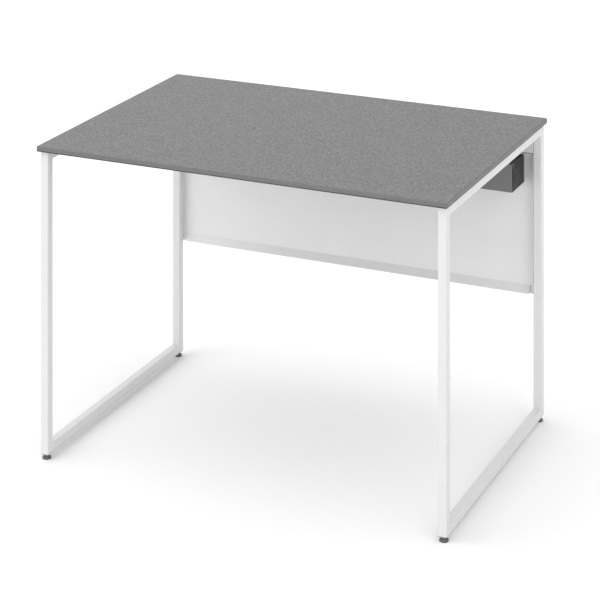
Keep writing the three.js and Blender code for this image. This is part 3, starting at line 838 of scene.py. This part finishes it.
def tray_nut(spot):
    """A rivet nut with the bulge that clamps it to the panel."""
    node = f"tray_nut_{spot}"
    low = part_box(node)[0]
    centre = middle_of(node)
    data = finished(node, skin([ring(*point) for point in NUT], loop=True), 30)
    seat = standing((centre.x, low.y, centre.z), (0, -1, 0))
    piece(f"{node}_crimped", data, "zinc_steel", [node], place=seat)


# ---- Feet ----
def ribbed(turn):
    """How far a finely ribbed rim reaches at that angle."""
    return 1 - FOOT_RIBS["depth"] / 2 * (1 + math.cos(FOOT_RIBS["count"] * turn))


def glide_data():
    """A round glide with a ribbed rim, a hexagon neck for a spanner and a blind socket for its stem."""
    shape = [
        (2.0, 0.6, circle),
        (6.4, 0.6, circle),
        (7.0, 0.0, circle),
        (9.2, 0.0, circle),
        (9.7, 0.25, circle),
        (9.95, 0.9, circle),
        (10.0, 1.1, ribbed),
        (10.0, 3.3, ribbed),
        (9.9, 3.6, circle),
        (9.5, 4.15, circle),
        (8.4, 4.95, circle),
        (7.2, 5.15, circle),
        (6.5, 5.2, hexagon),
        (6.5, 9.2, hexagon),
        (6.1, 9.6, hexagon),
        (4.6, 9.6, circle),
        (4.3, 9.3, circle),
        (4.3, 2.3, circle),
    ]
    rings = [ring(radius, height, outline, FOOT_SIDES) for radius, height, outline in shape]
    return finished("glide", skin(rings), 30)


def stem_data(low, high):
    """An M8 stem between two heights, in metres."""
    rings = thread(STEM, low / MM, high / MM)
    return finished("stem", skin(rings, climb=ROWS_PER_TURN, last=len(rings) - 1), 30)


def feet():
    glide = glide_data()
    stem_low, stem_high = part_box("left_front_foot_stem")
    stem = stem_data(stem_low.z, stem_high.z)
    insert = finished("insert", skin([ring(*point) for point in INSERT], loop=True), 30)
    for side_name in SIDES:
        for end_name in ENDS:
            name = f"{side_name}_{end_name}_foot"
            body = f"foot_{side_name}_{end_name}"
            centre = middle_of(f"{name}_stem")
            floor_spot = Matrix.Translation((centre.x, centre.y, 0))
            seat = Matrix.Translation((centre.x, centre.y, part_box(f"{name}_insert")[0].z))
            piece(f"{name}_hex_glide", glide, "foot_plastic", [f"{name}_glide"], body, floor_spot)
            piece(f"{name}_m8_stem", stem, "zinc_steel", [f"{name}_stem"], body, floor_spot)
            piece(f"{name}_m8_insert", insert, "zinc_steel", [f"{name}_insert"], place=seat)


# ---- Surroundings ----
FLOOR = {"half_width": 30, "grey": 0.94}


def node_tree(owner):
    owner.use_nodes = True
    owner.node_tree.nodes.clear()
    return owner.node_tree.nodes, owner.node_tree.links


def floor():
    """A wide pale floor that can be seen only from above."""
    mesh = bmesh.new()
    bmesh.ops.create_grid(mesh, x_segments=1, y_segments=1, size=FLOOR["half_width"])
    data = finished("floor", mesh)
    material = bpy.data.materials.new("pale_floor")
    nodes, links = node_tree(material)
    matt = nodes.new("ShaderNodeBsdfDiffuse")
    matt.inputs["Color"].default_value = (*[FLOOR["grey"]] * 3, 1)
    clear = nodes.new("ShaderNodeBsdfTransparent")
    mix = nodes.new("ShaderNodeMixShader")
    output = nodes.new("ShaderNodeOutputMaterial")
    links.new(nodes.new("ShaderNodeNewGeometry").outputs["Backfacing"], mix.inputs[0])
    links.new(matt.outputs[0], mix.inputs[1])
    links.new(clear.outputs[0], mix.inputs[2])
    links.new(mix.outputs[0], output.inputs["Surface"])
    data.materials.append(material)
    made = bpy.data.objects.new("pale_floor", data)
    bpy.context.scene.collection.objects.link(made)


# The studio light: an even level, and soft boxes on the sky round it. Each is at a turn from the front
# towards the right and a height over the floor, in degrees, and a higher focus makes it smaller.
EVEN_LIGHT = 0.4
SOFT_BOXES = (
    {"turn": 0, "height": 90, "focus": 4, "level": 0.69},
    {"turn": -60, "height": 50, "focus": 8, "level": 0.98},
    {"turn": 60, "height": 50, "focus": 8, "level": 0.63},
    {"turn": -45, "height": 15, "focus": 8, "level": 2.1},
    {"turn": 45, "height": 15, "focus": 8, "level": 1.42},
    {"turn": 90, "height": 15, "focus": 8, "level": 0.6},
    {"turn": 180, "height": 15, "focus": 8, "level": 0.53},
    {"turn": -135, "height": 15, "focus": 8, "level": 1.3},
    {"turn": -90, "height": 15, "focus": 8, "level": 0.21},
)


def sky():
    """An even sky with soft boxes that fade out all round, and that is plain white where it is seen."""
    world = bpy.data.worlds.new("soft_sky")
    bpy.context.scene.world = world
    nodes, links = node_tree(world)
    direction = nodes.new("ShaderNodeTexCoord").outputs["Generated"]

    def step(operation, first, second):
        node = nodes.new("ShaderNodeMath")
        node.operation = operation
        for socket, value in zip(node.inputs, (first, second)):
            if isinstance(value, bpy.types.NodeSocket):
                links.new(value, socket)
            else:
                socket.default_value = value
        return node.outputs[0]

    level = EVEN_LIGHT
    for box in SOFT_BOXES:
        turn, height = math.radians(box["turn"]), math.radians(box["height"])
        toward = nodes.new("ShaderNodeVectorMath")
        toward.operation = "DOT_PRODUCT"
        links.new(direction, toward.inputs[0])
        aim = (math.sin(turn) * math.cos(height), -math.cos(turn) * math.cos(height), math.sin(height))
        toward.inputs[1].default_value = aim
        share = step("POWER", step("MAXIMUM", toward.outputs["Value"], 0), box["focus"])
        level = step("ADD", step("MULTIPLY", share, box["level"]), level)
    seen = nodes.new("ShaderNodeLightPath").outputs["Is Camera Ray"]
    background = nodes.new("ShaderNodeBackground")
    background.inputs["Color"].default_value = (1, 1, 1, 1)
    links.new(step("MAXIMUM", level, seen), background.inputs["Strength"])
    output = nodes.new("ShaderNodeOutputWorld")
    links.new(background.outputs[0], output.inputs["Surface"])


# The photo's view: its turn to the left and down are in degrees, and its lens in millimetres.
VIEW = {"place": (2.033, -4.5359, 2.1506), "turn": 24.08, "down": 20.16, "lens": 135.5}


def camera():
    """A long lens from the front right that looks down with its back kept upright, as a view camera's
    is, so that the legs stay parallel. The back's tilt is its holder's, and the camera itself is plain."""
    data = bpy.data.cameras.new("camera")
    data.lens = VIEW["lens"]
    made = bpy.data.objects.new("camera", data)
    turn, down = math.radians(VIEW["turn"]), math.radians(VIEW["down"])
    ahead = Vector((-math.sin(turn) * math.cos(down), math.cos(turn) * math.cos(down), -math.sin(down)))
    made.location = VIEW["place"]
    made.rotation_mode = "QUATERNION"
    made.rotation_quaternion = ahead.to_track_quat("-Z", "Y")
    holder = bpy.data.objects.new("camera_holder", None)
    for part in (holder, made):
        bpy.context.scene.collection.objects.link(part)
    bpy.context.view_layer.update()
    upright = made.matrix_world.copy()
    upright.col[1] = (0, 0, 1, 0)
    upright_back = upright @ made.matrix_world.inverted()
    made.parent = holder
    made.matrix_parent_inverse = upright_back
    bpy.context.scene.camera = made


desktop()
modesty_panel()
cable_tray()
screws()
feet()
for end in ENDS:
    beam(f"{end}_beam")
for name, sign in SIDES.items():
    loop_frame(name, sign)
    tray_end(name, sign)
    for end in ENDS:
        bracket(name, sign, end)
        weld(name, sign, end)
for spot in TRAY_SPOTS:
    tray_nut(spot)
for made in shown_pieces():
    made.modifiers.new("even_shading", "WEIGHTED_NORMAL").keep_sharp = True
floor()
sky()
camera()
bpy.context.scene.view_settings.view_transform = "Standard"
